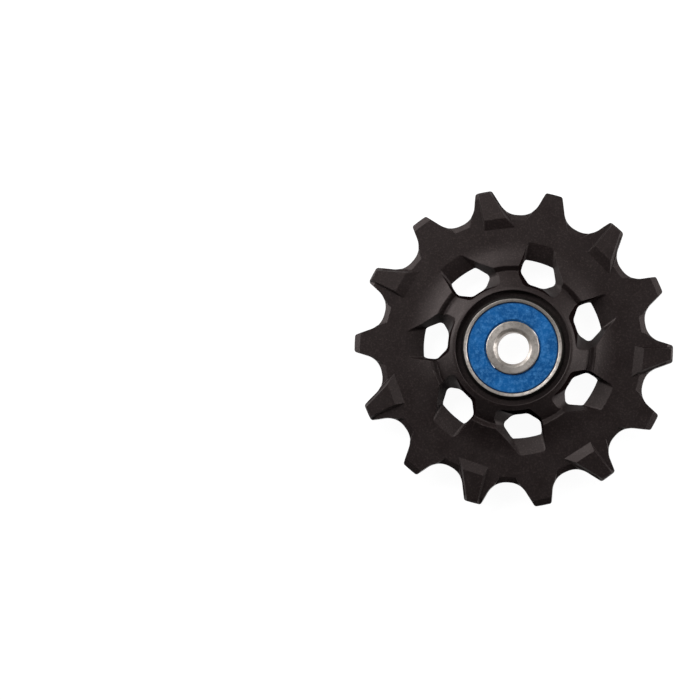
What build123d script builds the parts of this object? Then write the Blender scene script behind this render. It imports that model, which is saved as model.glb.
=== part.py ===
from build123d import *
import os
from math import atan2, cos, degrees, hypot, pi, radians, sin, sqrt, tan

# Derailleur jockey wheel: a moulded nylon wheel with plain and padded teeth by turns, on a sealed ball bearing.
# Millimetres and degrees. The origin is the wheel's centre, +Z runs along the axle towards the front, and a
# padded tooth stands on +X. Both faces are alike, so most pieces are drawn from the middle plane and mirrored.

# Chain and teeth. Angles of the flanks are from the radius through the middle of a roller seat.
chain_pitch = 12.7
window_count = 7
seat_radius = 3.87
seat_half_flat = 0.26
lead_flank_angle = 34.7
trail_flank_angle = 27.1
tip_rise = 0.8
tip_corner = 0.5
tip_bevel_run = 1.05
tip_bevel_drop = 0.55
rim_thickness = 2.0

# Bevel at the bottom of each roller seat, a flat scoop that flares towards the chain
seat_bevel_run = 0.95
seat_bevel_angle = 25.0
seat_bevel_half_width = 1.4
seat_bevel_flare_angle = 35.0
seat_bevel_end_draft = 15.0

# Pad on both faces of every other tooth. Offsets are from the tooth's own radius, at the pitch circle.
pad_height = 0.7
pad_foot_inset = 2.45
pad_foot_turn = -3.6
pad_slope = 21.0
pad_fall = 3.8
pad_lead_offset = 1.3
pad_lead_draft = 28.0
pad_trail_offset = 1.35
pad_trail_turn = 25.0
pad_trail_draft = 32.0
pad_tip_bevel = 0.28

# Hub, from the bearing outwards: groove, lip, cone, and the ridge that the windows leave as lobes
bearing_seat_length = 4.4
hub_groove_width = 1.05
lip_width = 0.55
hub_width = 6.8
cone_run = 3.2
cone_foot_thickness = 2.8
cliff_run = 0.9
lobe_thickness = 4.4
lobe_end_radius = 19.8
lip_chamfer = 0.12
cone_foot_round = 0.2
crest_round = 0.25

# Windows. The hub side and the long ramp are turned about the axle, and four plane walls close the ends. All
# of them lean outwards by their draft from the middle plane. The two side corners are given as a share of the
# way out from the hub to the ramp, and a place across.
window_turn = -1.16
window_hub_margin = 1.05
window_outer_radius = 16.54
window_left_corner = (0.405, 2.75)
window_right_corner = (0.28, -4.22)
window_inner_left = 0.68
window_inner_right = -2.37
window_outer_half_width = 2.75
ramp_angle = 17.1
hub_wall_draft = 10.5
left_wall_draft = 13.0
lower_left_draft = 16.0
lower_right_draft = 40.0
right_wall_draft = 35.0
ramp_round_share = 0.12
side_round_share = 0.28
hub_corner_round = 1.6

# Bearing
bore_diameter = 6.0
bearing_diameter = 19.0
bearing_width = 6.0
ball_diameter = 3.5
ball_count = 6
race_clearance = 0.03
land_gap = 1.38
ring_chamfer = 0.5
bore_chamfer = 0.53
inner_ring_corner = 0.12

# Seals, set in a step of the outer ring
ring_rim_width = 1.05
seal_recess = 0.15
seal_thickness = 0.45
seal_edge_bevel = 0.12
seal_lip_width = 0.28
seal_lip_thickness = 0.2
seal_lip_clearance = 0.1

# Cage: two ribbons bent round the balls and riveted between them
ribbon_thickness = 0.3
ribbon_width = 2.0
pocket_clearance = 0.08
rivet_radius = 0.3
rivet_clearance = 0.02
rivet_head_radius = 0.5
rivet_head_height = 0.22

# Worked out from the sizes above
tooth_count = 2 * window_count
tooth_step = 360 / tooth_count
pitch_radius = chain_pitch / 2 / sin(pi / tooth_count)
root_radius = pitch_radius - seat_radius
tip_radius = pitch_radius + tip_rise
rim_face = rim_thickness / 2
hub_face = hub_width / 2
bearing_radius = bearing_diameter / 2
bore_radius = bore_diameter / 2
bearing_face = bearing_width / 2
lip_inner_radius = bearing_radius + hub_groove_width
lip_outer_radius = lip_inner_radius + lip_width
cone_foot_radius = lip_outer_radius + cone_run
crest_radius = cone_foot_radius + cliff_run
window_inner_radius = lip_outer_radius + window_hub_margin
window_depth = window_outer_radius - window_inner_radius
side_corner_round = side_round_share * window_depth
ramp_corner_round = ramp_round_share * window_depth
ball_radius = ball_diameter / 2
ball_circle_radius = (bore_radius + bearing_radius) / 2
race_radius = ball_radius + race_clearance
race_edge = sqrt(race_radius**2 - land_gap**2)
seal_radius = bearing_radius - ring_rim_width
seal_outer_face = bearing_face - seal_recess
seal_inner_face = seal_outer_face - seal_thickness
inner_land_radius = ball_circle_radius - land_gap
outer_land_radius = ball_circle_radius + land_gap
overcut = 0.2


def wall(point, heading, lean):
    """Plane through a point. Its normal heads that way in plan and leans up from level by the given angle."""
    level = cos(radians(lean))
    normal = (level * cos(radians(heading)), level * sin(radians(heading)), sin(radians(lean)))
    return Plane(origin=point, z_dir=normal)


def block_up_to(height):
    """Block on +X from the middle plane up to a height."""
    return Box(2 * tip_radius, tip_radius, height, align=(Align.MIN, Align.CENTER, Align.MIN))


def inside(walls, block):
    """A block with all that lies beyond each wall taken off."""
    for plane in walls:
        block = split(block, bisect_by=plane, keep=Keep.BOTTOM)
    return block


def around(count, part, start_angle=0.0):
    """Copies of a part, evenly turned about the axle."""
    return PolarLocations(0, count, start_angle=start_angle) * part


def both_faces(half):
    """A piece from its upper half."""
    return half + mirror(half, about=Plane.XY)


def rounded(face, corners):
    """A plane face with each named corner rounded: pairs of a point and a radius."""
    for point, radius in corners:
        corner = face.vertices().sort_by_distance((point[0], point[1], 0))[0]
        face = fillet(corner, radius)
    return face


def turned(face):
    """Solid of revolution about the axle from a section drawn as (radius, height)."""
    return revolve(Plane.XZ * face, Axis.Z)


def whole_section(upper):
    """A section that is alike above and below the middle plane, from its upper half."""
    return upper + mirror(upper, about=Plane.XZ)


def wheel_section():
    """Upper half of the wheel's section, from the bearing seat to just past the tooth tips."""
    seat_top = bearing_seat_length / 2
    cone_foot = (cone_foot_radius, cone_foot_thickness / 2)
    crest = (crest_radius, lobe_thickness / 2)
    blend_end = (lobe_end_radius, rim_face)
    past_tip = tip_radius + overcut
    bevel_end = rim_face - tip_bevel_drop * (1 + overcut / tip_bevel_run)
    sides = Polyline(
        blend_end,
        (tip_radius - tip_bevel_run, rim_face),
        (past_tip, bevel_end),
        (past_tip, 0),
        (bearing_radius, 0),
        (bearing_radius, seat_top),
        (lip_inner_radius, seat_top),
        (lip_inner_radius, hub_face - lip_chamfer),
        (lip_inner_radius + lip_chamfer, hub_face),
        (lip_outer_radius, hub_face),
        cone_foot,
        crest,
    )
    blend = TangentArc(blend_end, crest, tangent=(-1, 0))
    return rounded(make_face([sides, blend]), [(cone_foot, cone_foot_round), (crest, crest_round)])


def seat_plan():
    """Plan of one roller seat on +X: a short flat, two arcs and the flanks that run on past the tips."""
    flank_length = 2 * seat_radius
    lead_arc = 90 - lead_flank_angle
    trail_arc = 90 - trail_flank_angle
    lead = CenterArc((pitch_radius, seat_half_flat), seat_radius, 180, -lead_arc)
    trail = CenterArc((pitch_radius, -seat_half_flat), seat_radius, 180, trail_arc)
    lead_flank = PolarLine(lead @ 1, flank_length, lead_flank_angle)
    trail_flank = PolarLine(trail @ 1, flank_length, -trail_flank_angle)
    floor = Line(lead @ 0, trail @ 0)
    mouth = Line(lead_flank @ 1, trail_flank @ 1)
    return make_face([floor, lead, lead_flank, mouth, trail_flank, trail])


def tooth_plan():
    """Outline of the whole toothed rim. The circle's seam is turned into a seat, away from the tips."""
    disc = Rot(0, 0, tooth_step / 2) * Circle(tip_radius)
    plan = disc - around(tooth_count, seat_plan(), tooth_step / 2)
    tips = [v for v in plan.vertices() if hypot(v.X, v.Y) > tip_radius - overcut / 2]
    return fillet(tips, tip_corner)


def tooth_pad():
    """Raised pad on the tooth that stands on +X, with a slope towards the hub and a bevel at the tip."""
    foot_radius = root_radius - pad_foot_inset
    slope_end = foot_radius + pad_height / tan(radians(pad_slope))
    pad_top = rim_face + pad_height
    tip_top = pad_top - (tip_radius - slope_end) * tan(radians(pad_fall))
    walls = [
        wall((foot_radius, 0, rim_face), 180 + pad_foot_turn, 90 - pad_slope),
        wall((pitch_radius, pad_lead_offset, rim_face), 90, pad_lead_draft),
        wall((pitch_radius, -pad_trail_offset, rim_face), pad_trail_turn - 90, pad_trail_draft),
        wall((slope_end, 0, pad_top), 0, 90 - pad_fall),
        wall((tip_radius, 0, tip_top - pad_tip_bevel), 0, 45),
    ]
    return inside(walls, block_up_to(pad_top + overcut))


def seat_bevel():
    """What the bevel at the bottom of the seat on +X takes off: a sloping floor between two flared ends."""
    start = root_radius - seat_bevel_run
    walls = [
        wall((start, 0, rim_face), 180, seat_bevel_angle - 90),
        wall((start, seat_bevel_half_width, rim_face), 90 + seat_bevel_flare_angle, -seat_bevel_end_draft),
        wall((start, -seat_bevel_half_width, rim_face), -90 - seat_bevel_flare_angle, -seat_bevel_end_draft),
    ]
    return inside(walls, block_up_to(rim_face + overcut))


def window_groove():
    """Turned groove between hub and ramp, of which each window is one piece. It stops just past the ramp's end."""
    top = hub_face + overcut
    ramp_end = window_outer_radius + rim_face / tan(radians(ramp_angle)) + overcut
    outline = Polyline(
        (window_inner_radius, 0),
        (window_outer_radius, 0),
        (ramp_end, (ramp_end - window_outer_radius) * tan(radians(ramp_angle))),
        (ramp_end, top),
        (window_inner_radius - top * tan(radians(hub_wall_draft)), top),
        close=True,
    )
    return Rot(0, 0, -90) * revolve(Plane.XZ * make_face(outline), Axis.Z, 180)


def window():
    """What one window takes off the upper half, lying on +X, with rounded corners between its walls."""
    outer_left = (window_outer_radius, window_outer_half_width)
    outer_right = (window_outer_radius, -window_outer_half_width)
    inner_left = (window_inner_radius, window_inner_left)
    inner_right = (window_inner_radius, window_inner_right)
    left = (window_inner_radius + window_left_corner[0] * window_depth, window_left_corner[1])
    right = (window_inner_radius + window_right_corner[0] * window_depth, window_right_corner[1])
    sides = [
        (outer_left, left, left_wall_draft),
        (left, inner_left, lower_left_draft),
        (inner_right, right, lower_right_draft),
        (right, outer_right, right_wall_draft),
    ]
    walls = []
    for corner, following, draft in sides:
        heading = degrees(atan2(corner[0] - following[0], following[1] - corner[1]))
        walls.append(wall((*corner, 0), heading, -draft))
    block = inside(walls, window_groove())
    rounds = [
        (left, side_corner_round),
        (right, side_corner_round),
        (inner_left, hub_corner_round),
        (inner_right, hub_corner_round),
        (outer_left, ramp_corner_round),
        (outer_right, ramp_corner_round),
    ]
    for corner, radius in rounds:
        rising = [e for e in block.edges() if e.bounding_box().size.Z > overcut]
        edge = ShapeList(rising).sort_by_distance((*corner, 0))[0]
        block = fillet(edge, radius)
    return block


def pulley_wheel():
    """The moulded wheel: turned section, tooth outline, pads, windows and seat bevels."""
    blank = turned(wheel_section()) + around(window_count, tooth_pad())
    half = blank & extrude(tooth_plan(), hub_face + overcut)
    half -= around(window_count, window(), tooth_step + window_turn)
    half -= around(tooth_count, seat_bevel(), tooth_step / 2)
    return both_faces(half)


def bearing_outer_ring():
    """Outer ring with its ball groove and the step that takes a seal."""
    race = CenterArc((ball_circle_radius, 0), race_radius, 0, degrees(atan2(race_edge, land_gap)))
    sides = Polyline(
        race @ 1,
        (outer_land_radius, seal_inner_face),
        (seal_radius, seal_inner_face),
        (seal_radius, bearing_face),
        (bearing_radius - ring_chamfer, bearing_face),
        (bearing_radius, bearing_face - ring_chamfer),
        (bearing_radius, 0),
        race @ 0,
    )
    return turned(whole_section(make_face([race, sides])))


def bearing_inner_ring():
    """Inner ring with its ball groove and the chamfered axle bore."""
    race = CenterArc((ball_circle_radius, 0), race_radius, 180, -degrees(atan2(race_edge, land_gap)))
    outer_corner = (inner_land_radius, bearing_face)
    sides = Polyline(
        race @ 1,
        outer_corner,
        (bore_radius + bore_chamfer, bearing_face),
        (bore_radius, bearing_face - bore_chamfer),
        (bore_radius, 0),
        race @ 0,
    )
    upper = rounded(make_face([race, sides]), [(outer_corner, inner_ring_corner)])
    return turned(whole_section(upper))


def front_seal():
    """Rubber seal: a flat disc with a thin lip that stops just short of the inner ring."""
    lip_edge = inner_land_radius + seal_lip_clearance
    lip_root = lip_edge + seal_lip_width
    lip_face = seal_inner_face + seal_lip_thickness
    outline = Polyline(
        (lip_edge, seal_inner_face),
        (seal_radius, seal_inner_face),
        (seal_radius, seal_outer_face - seal_edge_bevel),
        (seal_radius - seal_edge_bevel, seal_outer_face),
        (lip_root, seal_outer_face),
        (lip_root, lip_face),
        (lip_edge, lip_face),
        close=True,
    )
    return turned(make_face(outline))


def ball(number):
    """One ball, counted round from +X."""
    return Rot(0, 0, 360 / ball_count * (number - 1)) * Pos(ball_circle_radius, 0, 0) * Sphere(ball_radius)


def cage_half_front():
    """Upper ribbon of the cage: flat between the balls and bent in a half-round wave over each of them."""
    pocket_radius = ball_radius + pocket_clearance
    inner_edge = ball_circle_radius - ribbon_width / 2
    outer_edge = ball_circle_radius + ribbon_width / 2
    bend_radius = pocket_radius + ribbon_thickness
    upwards = (Align.CENTER, Align.CENTER, Align.MIN)
    band = Cylinder(outer_edge, bend_radius, align=upwards) - Cylinder(inner_edge, bend_radius, align=upwards)
    flat = Cylinder(outer_edge, ribbon_thickness, align=upwards)
    across = Pos(ball_circle_radius, 0, 0) * Rot(0, 90, 0)
    waves = around(ball_count, across * Cylinder(bend_radius, 2 * ribbon_width))
    pockets = around(ball_count, across * Cylinder(pocket_radius, 2 * ribbon_width))
    hole = Pos(ball_circle_radius, 0, 0) * Cylinder(rivet_radius + rivet_clearance, 4 * ribbon_thickness)
    holes = around(ball_count, hole, 180 / ball_count)
    return ((flat + waves) & band) - pockets - holes


def cage_rivets():
    """The rivets between the balls, each a shank with two flat heads."""
    shank = Cylinder(rivet_radius, 2 * ribbon_thickness)
    head_centre = ribbon_thickness + rivet_head_height / 2
    heads = [Pos(0, 0, side * head_centre) * Cylinder(rivet_head_radius, rivet_head_height) for side in (-1, 1)]
    rivet = shank + heads
    places = PolarLocations(ball_circle_radius, ball_count, start_angle=180 / ball_count)
    return Compound(children=[place * rivet for place in places])


nodes = {
    "pulley_wheel": pulley_wheel(),
    "bearing_outer_ring": bearing_outer_ring(),
    "bearing_inner_ring": bearing_inner_ring(),
    "front_seal": front_seal(),
    "rear_seal": mirror(front_seal(), about=Plane.XY),
    "cage_half_front": cage_half_front(),
    "cage_half_rear": mirror(cage_half_front(), about=Plane.XY),
    "cage_rivets": cage_rivets(),
}
for number in range(1, ball_count + 1):
    nodes[f"ball_{number}"] = ball(number)

os.makedirs("parts", exist_ok=True)
for name, part in nodes.items():
    export_step(part, f"parts/{name}.step")
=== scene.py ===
"""Looks of a derailleur jockey wheel: finishes for its packed solids, a white studio, light and a camera."""
from math import cos, pi, radians, sin

import bpy
import numpy as np
from mathutils import Matrix, Vector


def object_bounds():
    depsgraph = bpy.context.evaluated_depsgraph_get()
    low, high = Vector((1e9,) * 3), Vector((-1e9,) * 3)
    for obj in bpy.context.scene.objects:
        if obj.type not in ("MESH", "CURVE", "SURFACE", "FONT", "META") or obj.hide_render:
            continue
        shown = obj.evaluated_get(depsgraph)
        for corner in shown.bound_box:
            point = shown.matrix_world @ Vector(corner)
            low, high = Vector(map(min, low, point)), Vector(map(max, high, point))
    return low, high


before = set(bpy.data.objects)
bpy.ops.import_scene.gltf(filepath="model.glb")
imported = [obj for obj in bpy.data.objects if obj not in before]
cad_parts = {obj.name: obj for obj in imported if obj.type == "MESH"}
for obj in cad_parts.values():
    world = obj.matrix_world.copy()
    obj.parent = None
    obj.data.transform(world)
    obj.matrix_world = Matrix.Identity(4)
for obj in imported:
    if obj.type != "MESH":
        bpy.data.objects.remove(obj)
cad_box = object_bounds()

bl_info = {
    "name": "Jockey Wheel Looks",
    "version": (1, 0, 0),
    "blender": (4, 5, 0),
    "location": "View3D > Sidebar > Jockey Wheel",
    "description": "Finishes, studio and camera for a derailleur jockey wheel",
    "category": "Object",
}

MM = 0.001
BALLS = sorted(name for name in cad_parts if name.startswith("ball_"))

# Small softboxes close to the wheel: name, bearing in the picture and height in degrees, width and depth
# in metres, and level. The levels and the fill add up to 1, at which a level surface renders in its colour
# as it is written.
SOFTBOXES = (
    ("softbox_key", 124, 43, 0.12, 0.10, 0.42),
    ("softbox_left", 158, 16, 0.12, 0.07, 0.19),
    ("softbox_right", 2, 16, 0.12, 0.07, 0.18),
    ("softbox_top", 30, 42, 0.10, 0.08, 0.16),
)
# Distance from the wheel's middle to every softbox, in metres
SOFTBOX_DISTANCE = 0.2

# Width of the camera's sensor, which is given in millimetres
SENSOR_WIDTH = 36.0
WHITE = (1.0, 1.0, 1.0, 1.0)

# Inputs and output of a Mix node that mixes colours: its names repeat, so they go by number.
SHARE, FIRST, SECOND, MIXED = 0, 6, 7, 2

# Nearly all values of a noise pattern lie in this span.
NOISE_SPAN = {"From Min": 0.3, "From Max": 0.7}

# How much of a surface's normal lies along the axle: up to the first value the surface counts as a steep
# wall, and from the second value on it doesn't.
STEEP_SPAN = {"From Min": 0.30, "From Max": 0.45}
AXLE = (0.0, 0.0, 1.0)
ACROSS_AXLE = (1.0, 1.0, 0.0)


def linear(hex_colour):
    """Linear RGB of an sRGB colour written as #RRGGBB."""
    parts = np.array([int(hex_colour[n:n + 2], 16) for n in (1, 3, 5)]) / 255
    return tuple(np.where(parts > 0.04045, ((parts + 0.055) / 1.055) ** 2.4, parts / 12.92).tolist())


def colour(name, description, hex_colour):
    """A colour property."""
    return bpy.props.FloatVectorProperty(
        name=name, description=description, subtype="COLOR", size=3, min=0, max=1, default=linear(hex_colour)
    )


def length(name, description, millimetres):
    """A length property, kept in metres."""
    return bpy.props.FloatProperty(
        name=name, description=description, unit="LENGTH", precision=6, min=0, default=millimetres * MM
    )


def angle(name, description, degrees):
    """An angle property, kept in radians."""
    return bpy.props.FloatProperty(
        name=name, description=description, subtype="ANGLE", default=radians(degrees)
    )


def strength(name, description, level):
    """A property for a level of light, where 1 is white."""
    return bpy.props.FloatProperty(
        name=name, description=description, subtype="FACTOR", min=0, max=1, default=level
    )


class NylonSettings(bpy.types.PropertyGroup):
    """Moulded nylon of the toothed wheel"""
    base: colour("Nylon", "Colour of the nylon", "#130C0C")
    bloom: colour("Bloom", "Paler colour where glass fibres and dust lie at the surface", "#372E2D")
    sheen: colour("Sheen", "Tint of the highlights", "#FFEFEC")
    grain: length("Grain", "Width of one grain of the mould's texture", 0.30)
    grain_depth: length("Grain depth", "Height of the grain", 0.022)
    flow: length("Flow", "Width of the patches where the melt flowed together", 4.0)
    edge: length("Edge round", "Radius of the moulded edges", 0.10)
    teeth: length("Teeth", "Radius where the toothed rim starts", 21.0)
    teeth_fade: length("Teeth fade", "Width over which matt walls give way to the rim's grain", 1.0)
    lip_inside: length("Lip inside", "Inner radius of the collar lip", 10.55)
    lip_outside: length("Lip outside", "Outer radius of the collar lip", 11.10)
    lip_fall: length("Lip fall", "How far the lip's top falls towards its outside", 0.18)


class SteelSettings(bpy.types.PropertyGroup):
    """Steel of the bearing"""
    ground: colour("Ground steel", "Colour of the rings", "#C2BBB5")
    stain: colour("Stain", "Darker colour where oil and handling left a film", "#8E867F")
    # Painted shade: a dark colour on the outer ring's corner, standing in for the dark groove it mirrors.
    scale: colour("Scale", "Dark colour of the outer ring's corner, unground after hardening", "#393634")
    pressed: colour("Pressed steel", "Colour of the cage and its rivets", "#8F8D8A")
    polished: colour("Polished steel", "Colour of the balls", "#C4C4C6")
    grit: length("Grinding rings", "Spacing of the grinding marks", 0.16)
    grit_depth: length("Grinding depth", "Depth of the grinding marks", 0.003)
    film: length("Film", "Width of the patches of oil film on the rings", 0.7)
    mottle: length("Mottle", "Width of the rolled mottle on the cage", 0.4)
    grease: length("Grease", "Width of the patches of grease on the balls", 0.8)
    edge: length("Edge round", "Radius of the tumbled edges", 0.30)
    corner: length("Ring corner", "Width of the outer ring's corner, as seen along the axle", 0.5)
    corner_fade: length("Corner fade", "Width over which the corner's scale gives way to ground steel", 0.04)
    dish: length("Dish", "How far the outer ring's rim falls towards the seal", 0.13)


class SealSettings(bpy.types.PropertyGroup):
    """Rubber of the seals"""
    base: colour("Seal", "Colour of the rubber", "#0C5A9C")
    chalk: colour("Chalk", "Paler colour of release powder in the pores", "#4A8ECB")
    shade: colour("Shade", "Darker colour of the smooth patches", "#074A84")
    # Painted shade: the dark line along the seal's outer edge, beside the outer ring's step.
    painted_edge_shade: colour("Grime", "Dark colour of the line along the outer edge, where grime gathers", "#04223F")
    painted_edge_shade_width: length("Grime width", "Width of the dark line along the outer edge", 0.36)
    pore: length("Pores", "Width of the moulded pores", 0.65)
    pore_depth: length("Pore depth", "Depth of the moulded pores", 0.03)
    patch: length("Patches", "Width of the smooth patches", 3.9)


class StageSettings(bpy.types.PropertyGroup):
    """Studio and camera"""
    floor: colour("Floor", "Colour of the floor and its backdrop under the lights", "#6A6A6A")
    glow: strength("Glow", "White that the floor itself shows to the camera and in reflections", 0.95)
    fill: strength("Fill", "Even light from all round", 0.05)
    reach: length("Floor reach", "Distance from the wheel to where the floor starts to bend up", 2500.0)
    distance: length("Camera distance", "Distance from the camera to the picture's plane", 1000.0)
    frame_width: length("Frame width", "What the picture's width covers at the wheel", 128.94)
    right_of_centre: length(
        "Right of centre", "Distance of the wheel to the right of the picture's middle", 30.11
    )
    above_centre: length("Above centre", "Distance of the wheel above the picture's middle", 0.24)
    roll: angle("Roll", "Turn of the picture about the axle", 2.557)
    lean_right: angle("Lean right", "Lean of the view towards the right", 2.8)
    lean_down: angle("Lean down", "Lean of the view towards the bottom", 3.4)


def add(tree, kind, inputs, **settings):
    """Adds a shader node with its settings, and gives each input a value or the output that feeds it."""
    made = tree.nodes.new("ShaderNode" + kind)
    for name, value in settings.items():
        setattr(made, name, value)
    for name, value in inputs.items():
        if isinstance(value, bpy.types.NodeSocket):
            tree.links.new(value, made.inputs[name])
        else:
            made.inputs[name].default_value = value
    return made


def started(name, **inputs):
    """A new material, its node tree and its shader, with constant inputs set on the shader's own sockets."""
    material = bpy.data.materials.new(name)
    material.use_nodes = True
    shader = material.node_tree.nodes["Principled BSDF"]
    for socket, value in inputs.items():
        shader.inputs[socket.replace("_", " ")].default_value = value
    return material, material.node_tree, shader


def opaque(rgb):
    """A colour socket's four numbers."""
    return (*rgb, 1.0)


def from_axle(tree, place):
    """The output that gives each point's distance from the axle."""
    level = add(tree, "VectorMath", {0: place, 1: ACROSS_AXLE}, operation="MULTIPLY")
    return add(tree, "VectorMath", {0: level.outputs["Vector"]}, operation="LENGTH").outputs["Value"]


def outer_radius(name):
    """Outer radius of a round solid."""
    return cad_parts[name].dimensions.x / 2


def dress(material, names):
    """Puts a material in every slot of the named solids."""
    for name in names:
        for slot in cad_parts[name].material_slots:
            slot.material = material


def filled_nylon(settings):
    """Glass-filled nylon, injection-moulded in a spark-eroded tool.

    The eye sees a warm black that isn't quite even, and a fine grain that spreads every highlight into a
    satin sheen. The edges are a little round, so they draw thin pale lines. The steep walls of the hub and
    the windows are matt and clean, because they drag along the tool as the wheel leaves it, so they stay
    dark beside a white floor. The collar lip's top falls outwards, so its brightness changes round the axle.
    """
    material, tree, shader = started(
        "Filled nylon, grain-moulded", IOR=1.53, Specular_Tint=opaque(settings.sheen)
    )
    surface = add(tree, "TexCoord", {}).outputs
    place = surface["Object"]
    radius = from_axle(tree, place)
    # How level the surface is. The toothed rim counts as level all over, because its flanks keep the tool's
    # grain.
    along = add(tree, "VectorMath", {0: surface["Normal"], 1: AXLE}, operation="DOT_PRODUCT")
    facing = add(tree, "Math", {0: along.outputs["Value"]}, operation="ABSOLUTE")
    toothed = add(
        tree, "MapRange",
        {"Value": radius, "From Min": settings.teeth, "From Max": settings.teeth + settings.teeth_fade},
    )
    level = add(tree, "Math", {0: facing.outputs[0], 1: toothed.outputs[0]}, operation="MAXIMUM").outputs[0]
    # The real grain is about 0.05 mm wide. It is drawn several times coarser, so that it shows.
    grain = add(
        tree, "TexNoise", {"Vector": place, "Scale": 1 / settings.grain, "Detail": 3.0, "Roughness": 0.6}
    )
    flow = add(tree, "TexNoise", {"Vector": place, "Scale": 1 / settings.flow, "Detail": 3.0})
    dusty = add(tree, "MapRange", {"Value": level, **STEEP_SPAN, "To Min": 0.2, "To Max": 0.8})
    bloom = add(
        tree, "MapRange",
        {"Value": grain.outputs[0], "From Min": 0.50, "From Max": 0.80, "To Max": dusty.outputs[0]},
    )
    mixed = add(
        tree, "Mix",
        {SHARE: bloom.outputs[0], FIRST: opaque(settings.base), SECOND: opaque(settings.bloom)},
        data_type="RGBA",
    )
    sheen = add(tree, "MapRange", {"Value": level, **STEEP_SPAN, "To Min": 0.0, "To Max": 0.32})
    gloss = add(tree, "MapRange", {"Value": flow.outputs[0], **NOISE_SPAN, "To Min": 0.44, "To Max": 0.56})
    soft_edge = add(tree, "Bevel", {"Radius": settings.edge}, samples=6)
    fall = add(
        tree, "MapRange",
        {"Value": radius, "From Min": settings.lip_inside, "From Max": settings.lip_outside,
         "To Min": 1.0, "To Max": 0.0},
    )
    lip = add(
        tree, "Bump",
        {"Strength": 1.0, "Distance": settings.lip_fall, "Height": fall.outputs[0],
         "Normal": soft_edge.outputs[0]},
    )
    bump = add(
        tree, "Bump",
        {"Strength": 1.0, "Distance": settings.grain_depth, "Height": grain.outputs[0],
         "Normal": lip.outputs[0]},
    )
    tree.links.new(mixed.outputs[MIXED], shader.inputs["Base Color"])
    tree.links.new(sheen.outputs[0], shader.inputs["Specular IOR Level"])
    tree.links.new(gloss.outputs[0], shader.inputs["Roughness"])
    tree.links.new(bump.outputs[0], shader.inputs["Normal"])
    return material


def ground_steel(settings):
    """Hardened bearing steel, ground on every face but the outer ring's corner.

    The eye sees a warm grey metal whose reflections are drawn out across fine rings round the axle, with a
    thin film of oil that dulls it in patches. The outer ring's corner is painted dark: painted shade for the
    dark groove it mirrors, so the ring looks thin. The outer ring's rim dips towards the seal, so its
    brightness changes round the axle.
    """
    material, tree, shader = started(
        "Bearing steel, ground", Metallic=1.0, Anisotropic=0.45, Anisotropic_Rotation=0.25
    )
    round_axle = add(tree, "Tangent", {}, direction_type="RADIAL", axis="Z")
    place = add(tree, "TexCoord", {}).outputs["Object"]
    radius = from_axle(tree, place)
    # Grinding marks are some 0.02 mm apart. They are drawn coarser, so that they show.
    rings = add(
        tree, "TexNoise", {"W": radius, "Scale": 1 / settings.grit, "Detail": 2.0}, noise_dimensions="1D"
    )
    film = add(
        tree, "TexNoise", {"Vector": place, "Scale": 1 / settings.film, "Detail": 4.0, "Roughness": 0.65}
    )
    stain = add(
        tree, "MapRange", {"Value": film.outputs[0], "From Min": 0.45, "From Max": 0.72, "To Max": 0.8}
    )
    mixed = add(
        tree, "Mix",
        {SHARE: stain.outputs[0], FIRST: opaque(settings.ground), SECOND: opaque(settings.stain)},
        data_type="RGBA",
    )
    # Painted shade: the outer ring's corner is darkened in its colour, for the dark groove it mirrors.
    corner = outer_radius("bearing_outer_ring") - settings.corner
    scale = add(
        tree, "MapRange", {"Value": radius, "From Min": corner, "From Max": corner + settings.corner_fade}
    )
    corner_shaded = add(
        tree, "Mix",
        {SHARE: scale.outputs[0], FIRST: mixed.outputs[MIXED], SECOND: opaque(settings.scale)},
        data_type="RGBA",
    )
    gloss = add(tree, "MapRange", {"Value": film.outputs[0], **NOISE_SPAN, "To Min": 0.46, "To Max": 0.60})
    soft_edge = add(tree, "Bevel", {"Radius": settings.edge}, samples=6)
    rise = add(
        tree, "MapRange", {"Value": radius, "From Min": outer_radius("front_seal"), "From Max": corner}
    )
    dish = add(
        tree, "Bump",
        {"Strength": 1.0, "Distance": settings.dish, "Height": rise.outputs[0],
         "Normal": soft_edge.outputs[0]},
    )
    bump = add(
        tree, "Bump",
        {"Strength": 1.0, "Distance": settings.grit_depth, "Height": rings.outputs[0],
         "Normal": dish.outputs[0]},
    )
    tree.links.new(round_axle.outputs[0], shader.inputs["Tangent"])
    tree.links.new(corner_shaded.outputs[MIXED], shader.inputs["Base Color"])
    tree.links.new(gloss.outputs[0], shader.inputs["Roughness"])
    tree.links.new(bump.outputs[0], shader.inputs["Normal"])
    return material


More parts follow.
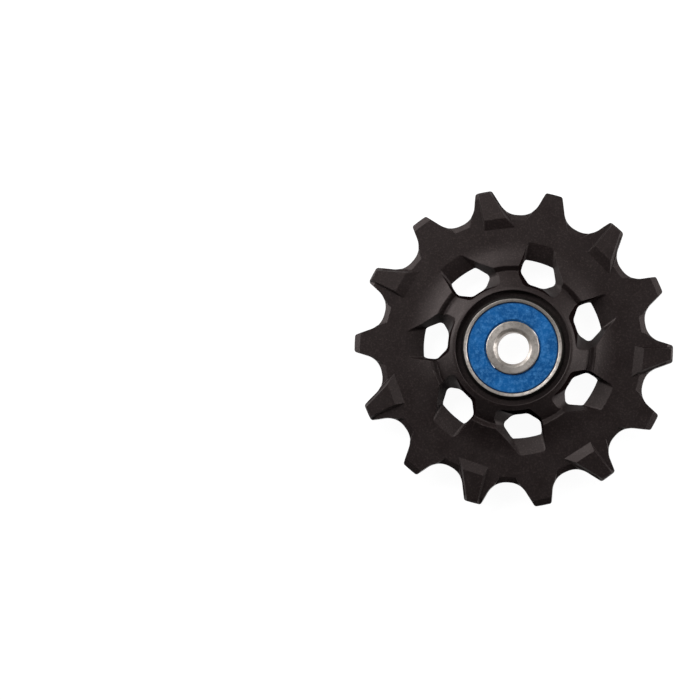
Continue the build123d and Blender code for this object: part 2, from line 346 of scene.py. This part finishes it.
def seal_rubber(settings):
    """Nitrile rubber, dyed and moulded on a steel disc.

    The eye sees a matt blue with chalky specks in its pores, darker smooth patches between them and a thin
    dark line of painted shade along the outer edge, beside the outer ring's step.
    """
    material, tree, shader = started("Nitrile rubber, dyed and moulded", IOR=1.52, Specular_IOR_Level=0.15)
    place = add(tree, "TexCoord", {}).outputs["Object"]
    radius = from_axle(tree, place)
    pores = add(
        tree, "TexNoise", {"Vector": place, "Scale": 1 / settings.pore, "Detail": 6.0, "Roughness": 0.72}
    )
    patches = add(tree, "TexNoise", {"Vector": place, "Scale": 1 / settings.patch, "Detail": 3.0})
    smooth = add(
        tree, "MapRange", {"Value": patches.outputs[0], "From Min": 0.42, "From Max": 0.62, "To Max": 0.8}
    )
    chalk = add(
        tree, "MapRange", {"Value": pores.outputs[0], "From Min": 0.46, "From Max": 0.72, "To Max": 0.7}
    )
    rubber = add(
        tree, "Mix",
        {SHARE: smooth.outputs[0], FIRST: opaque(settings.base), SECOND: opaque(settings.shade)},
        data_type="RGBA",
    )
    mixed = add(
        tree, "Mix",
        {SHARE: chalk.outputs[0], FIRST: rubber.outputs[MIXED], SECOND: opaque(settings.chalk)},
        data_type="RGBA",
    )
    # Painted shade: a dark line along the outer edge, beside the outer ring's step. It fades in over its
    # inner half.
    rim = outer_radius("front_seal")
    painted_edge_shade = add(
        tree, "MapRange",
        {"Value": radius, "From Min": rim - settings.painted_edge_shade_width, "From Max": rim - settings.painted_edge_shade_width / 2,
         "To Max": 0.9},
    )
    edged = add(
        tree, "Mix",
        {SHARE: painted_edge_shade.outputs[0], FIRST: mixed.outputs[MIXED], SECOND: opaque(settings.painted_edge_shade)},
        data_type="RGBA",
    )
    gloss = add(tree, "MapRange", {"Value": pores.outputs[0], **NOISE_SPAN, "To Min": 0.45, "To Max": 0.65})
    bump = add(tree, "Bump", {"Strength": 1.0, "Distance": settings.pore_depth, "Height": pores.outputs[0]})
    tree.links.new(edged.outputs[MIXED], shader.inputs["Base Color"])
    tree.links.new(gloss.outputs[0], shader.inputs["Roughness"])
    tree.links.new(bump.outputs[0], shader.inputs["Normal"])
    return material


def pressed_steel(settings):
    """Cold-rolled strip steel, pressed to shape.

    The eye sees a plain grey metal with a faint rolled mottle and an oily, uneven gloss.
    """
    material, tree, shader = started("Strip steel, pressed", Metallic=1.0)
    place = add(tree, "TexCoord", {}).outputs["Object"]
    mottle = add(tree, "TexNoise", {"Vector": place, "Scale": 1 / settings.mottle, "Detail": 3.0})
    mixed = add(
        tree, "Mix",
        {SHARE: mottle.outputs[0], FIRST: opaque(settings.pressed), SECOND: opaque(settings.stain)},
        data_type="RGBA",
    )
    gloss = add(tree, "MapRange", {"Value": mottle.outputs[0], **NOISE_SPAN, "To Min": 0.30, "To Max": 0.45})
    tree.links.new(mixed.outputs[MIXED], shader.inputs["Base Color"])
    tree.links.new(gloss.outputs[0], shader.inputs["Roughness"])
    return material


def polished_steel(settings):
    """Chromium steel, lapped and polished.

    The eye sees a bright mirror, dulled a little where a film of grease clings.
    """
    material, tree, shader = started("Chromium steel, lapped", Metallic=1.0)
    place = add(tree, "TexCoord", {}).outputs["Object"]
    grease = add(tree, "TexNoise", {"Vector": place, "Scale": 1 / settings.grease, "Detail": 2.0})
    mixed = add(
        tree, "Mix",
        {SHARE: grease.outputs[0], FIRST: opaque(settings.polished), SECOND: opaque(settings.ground)},
        data_type="RGBA",
    )
    gloss = add(tree, "MapRange", {"Value": grease.outputs[0], **NOISE_SPAN, "To Min": 0.06, "To Max": 0.20})
    tree.links.new(mixed.outputs[MIXED], shader.inputs["Base Color"])
    tree.links.new(gloss.outputs[0], shader.inputs["Roughness"])
    return material


def studio_white(settings):
    """Matt white studio paper.

    To the camera, and in reflections, it glows by itself, so that the ground is white without more light on
    the wheel. It still takes the lamps' light, and with that the wheel's shadow.
    """
    material, tree, shader = started(
        "Studio paper", Base_Color=opaque(settings.floor), Roughness=0.9, Emission_Color=WHITE
    )
    path = add(tree, "LightPath", {}).outputs
    looked_at = add(
        tree, "Math", {0: path["Is Camera Ray"], 1: path["Is Glossy Ray"]}, operation="MAXIMUM"
    )
    shown = add(
        tree, "Math", {0: looked_at.outputs[0], 1: path["Is Transmission Ray"]}, operation="MAXIMUM"
    )
    glow = add(tree, "Math", {0: shown.outputs[0], 1: settings.glow}, operation="MULTIPLY")
    tree.links.new(glow.outputs[0], shader.inputs["Emission Strength"])
    return material


def studio_floor(settings):
    """Floor with a backdrop that bends up all round it.

    A profile turned about the axle: r runs out level to the reach, then r = reach + b sin t and
    z = b (1 - cos t) for t from 0 to 90 degrees, where b is the bend's radius. The innermost ring is one
    point.
    """
    steps, level_rings, bend_rings = 128, 11, 23
    ground = cad_box[0].z
    bend = settings.reach / 6
    turn = np.linspace(0, pi / 2, bend_rings + 1)[1:]
    level = np.linspace(0, settings.reach, level_rings + 1)[1:]
    radius = np.concatenate([level, settings.reach + bend * np.sin(turn)])
    height = np.concatenate([np.zeros(level_rings), bend * (1 - np.cos(turn))]) + ground
    heading = np.linspace(0, 2 * pi, steps, endpoint=False)
    across, along = np.outer(radius, np.cos(heading)), np.outer(radius, np.sin(heading))
    rings = np.stack([across, along, np.outer(height, np.ones(steps))], axis=-1)
    points = np.concatenate([[(0, 0, ground)], rings.reshape(-1, 3)])
    here = 1 + np.arange(steps)
    following = 1 + (np.arange(steps) + 1) % steps
    fan = np.stack([np.zeros(steps, int), here, following], axis=-1)
    start = steps * np.arange(len(radius) - 1)[:, None]
    corners = [start + here, start + here + steps, start + following + steps, start + following]
    quads = np.stack(corners, axis=-1).reshape(-1, 4)
    mesh = bpy.data.meshes.new("studio_floor")
    mesh.from_pydata(points.tolist(), [], fan.tolist() + quads.tolist())
    mesh.shade_smooth()
    floor = bpy.data.objects.new("studio_floor", mesh)
    floor.data.materials.append(studio_white(settings))
    bpy.context.scene.collection.objects.link(floor)


def softbox(name, bearing, height, width, depth, level, roll):
    """A rectangle of light that faces the wheel. Its power follows from its level on a level surface."""
    heading, rise = radians(bearing) + roll, radians(height)
    way = Vector((cos(rise) * cos(heading), cos(rise) * sin(heading), sin(rise)))
    lamp = bpy.data.lights.new(name, "AREA")
    lamp.shape = "RECTANGLE"
    lamp.size, lamp.size_y = width, depth
    lamp.energy = level * (pi * SOFTBOX_DISTANCE) ** 2 / sin(rise)
    box = bpy.data.objects.new(name, lamp)
    box.location = way * SOFTBOX_DISTANCE
    box.rotation_mode = "QUATERNION"
    box.rotation_quaternion = way.to_track_quat("Z", "Y")
    box.visible_camera = False
    bpy.context.scene.collection.objects.link(box)


def studio_fill(settings):
    """Even, faint light from all round."""
    world = bpy.data.worlds.new("Studio fill")
    world.use_nodes = True
    background = world.node_tree.nodes["Background"]
    background.inputs["Color"].default_value = WHITE
    background.inputs["Strength"].default_value = settings.fill
    bpy.context.scene.world = world


def studio_camera(settings):
    """Camera almost straight above, with the wheel right of the picture's middle as in the photo."""
    right = Vector((cos(settings.roll), sin(settings.roll), 0))
    up = Vector((-sin(settings.roll), cos(settings.roll), 0))
    # The wheel's place in the picture adds to the lean of the view's own axis.
    lean_right = settings.lean_right + settings.right_of_centre / settings.distance
    lean_up = -settings.lean_down + settings.above_centre / settings.distance
    back = (Vector(AXLE) + lean_right * right + lean_up * up).normalized()
    side = up.cross(back).normalized()
    top = back.cross(side)
    data = bpy.data.cameras.new("studio_camera")
    data.sensor_width = SENSOR_WIDTH
    data.lens = SENSOR_WIDTH * settings.distance / settings.frame_width
    # Clipping well in front of the wheel and well behind the backdrop
    data.clip_start, data.clip_end = settings.distance / 20, settings.distance * 20
    camera = bpy.data.objects.new("studio_camera", data)
    place = settings.distance * back - settings.right_of_centre * side - settings.above_centre * top
    turned = Matrix((side, top, back)).transposed().to_4x4()
    camera.matrix_world = Matrix.Translation(place) @ turned
    bpy.context.scene.collection.objects.link(camera)
    bpy.context.scene.camera = camera


class JOCKEY_OT_toothed_wheel(bpy.types.Operator):
    """Give the toothed wheel its moulded nylon"""
    bl_idname = "jockey.toothed_wheel"
    bl_label = "Toothed Wheel"

    def execute(self, context):
        dress(filled_nylon(context.scene.jockey_nylon), ["pulley_wheel"])
        return {"FINISHED"}


class JOCKEY_OT_bearing_rings(bpy.types.Operator):
    """Give both bearing rings their ground steel"""
    bl_idname = "jockey.bearing_rings"
    bl_label = "Bearing Rings"

    def execute(self, context):
        dress(ground_steel(context.scene.jockey_steel), ["bearing_outer_ring", "bearing_inner_ring"])
        return {"FINISHED"}


class JOCKEY_OT_seals(bpy.types.Operator):
    """Give both seals their dyed rubber"""
    bl_idname = "jockey.seals"
    bl_label = "Seals"

    def execute(self, context):
        dress(seal_rubber(context.scene.jockey_seal), ["front_seal", "rear_seal"])
        return {"FINISHED"}


class JOCKEY_OT_ball_cage(bpy.types.Operator):
    """Give the cage and its rivets their pressed steel"""
    bl_idname = "jockey.ball_cage"
    bl_label = "Ball Cage"

    def execute(self, context):
        steel = pressed_steel(context.scene.jockey_steel)
        dress(steel, ["cage_half_front", "cage_half_rear", "cage_rivets"])
        return {"FINISHED"}


class JOCKEY_OT_balls(bpy.types.Operator):
    """Give the balls their polished steel"""
    bl_idname = "jockey.balls"
    bl_label = "Balls"

    def execute(self, context):
        dress(polished_steel(context.scene.jockey_steel), BALLS)
        return {"FINISHED"}


class JOCKEY_OT_studio(bpy.types.Operator):
    """Set up the floor, the lights and the camera"""
    bl_idname = "jockey.studio"
    bl_label = "Studio"

    def execute(self, context):
        settings = context.scene.jockey_stage
        studio_floor(settings)
        studio_fill(settings)
        for box in SOFTBOXES:
            softbox(*box, settings.roll)
        studio_camera(settings)
        context.scene.view_settings.view_transform = "Standard"
        return {"FINISHED"}


SETTINGS = {
    "jockey_nylon": NylonSettings,
    "jockey_steel": SteelSettings,
    "jockey_seal": SealSettings,
    "jockey_stage": StageSettings,
}
OPERATORS = (
    JOCKEY_OT_toothed_wheel,
    JOCKEY_OT_bearing_rings,
    JOCKEY_OT_seals,
    JOCKEY_OT_ball_cage,
    JOCKEY_OT_balls,
    JOCKEY_OT_studio,
)


class JOCKEY_PT_looks(bpy.types.Panel):
    """The wheel's pieces, with the sizes and colours of their finishes"""
    bl_label = "Jockey Wheel"
    bl_idname = "JOCKEY_PT_looks"
    bl_space_type = "VIEW_3D"
    bl_region_type = "UI"
    bl_category = "Jockey Wheel"

    def draw(self, context):
        for operator in OPERATORS:
            self.layout.operator(operator.bl_idname)
        for name, group in SETTINGS.items():
            box = self.layout.box()
            box.label(text=group.__doc__)
            for prop in group.__annotations__:
                box.prop(getattr(context.scene, name), prop)


CLASSES = (*SETTINGS.values(), *OPERATORS, JOCKEY_PT_looks)


def register():
    """Registers the classes and hangs the settings on the scene."""
    for made in CLASSES:
        bpy.utils.register_class(made)
    for name, group in SETTINGS.items():
        setattr(bpy.types.Scene, name, bpy.props.PointerProperty(type=group))


def unregister():
    """Takes the settings and the classes away again."""
    for name in SETTINGS:
        delattr(bpy.types.Scene, name)
    for made in reversed(CLASSES):
        bpy.utils.unregister_class(made)


def main():
    """Dresses every piece and sets up the studio."""
    register()
    bpy.ops.jockey.toothed_wheel()
    bpy.ops.jockey.bearing_rings()
    bpy.ops.jockey.seals()
    bpy.ops.jockey.ball_cage()
    bpy.ops.jockey.balls()
    bpy.ops.jockey.studio()


if __name__ == "__main__":
    main()
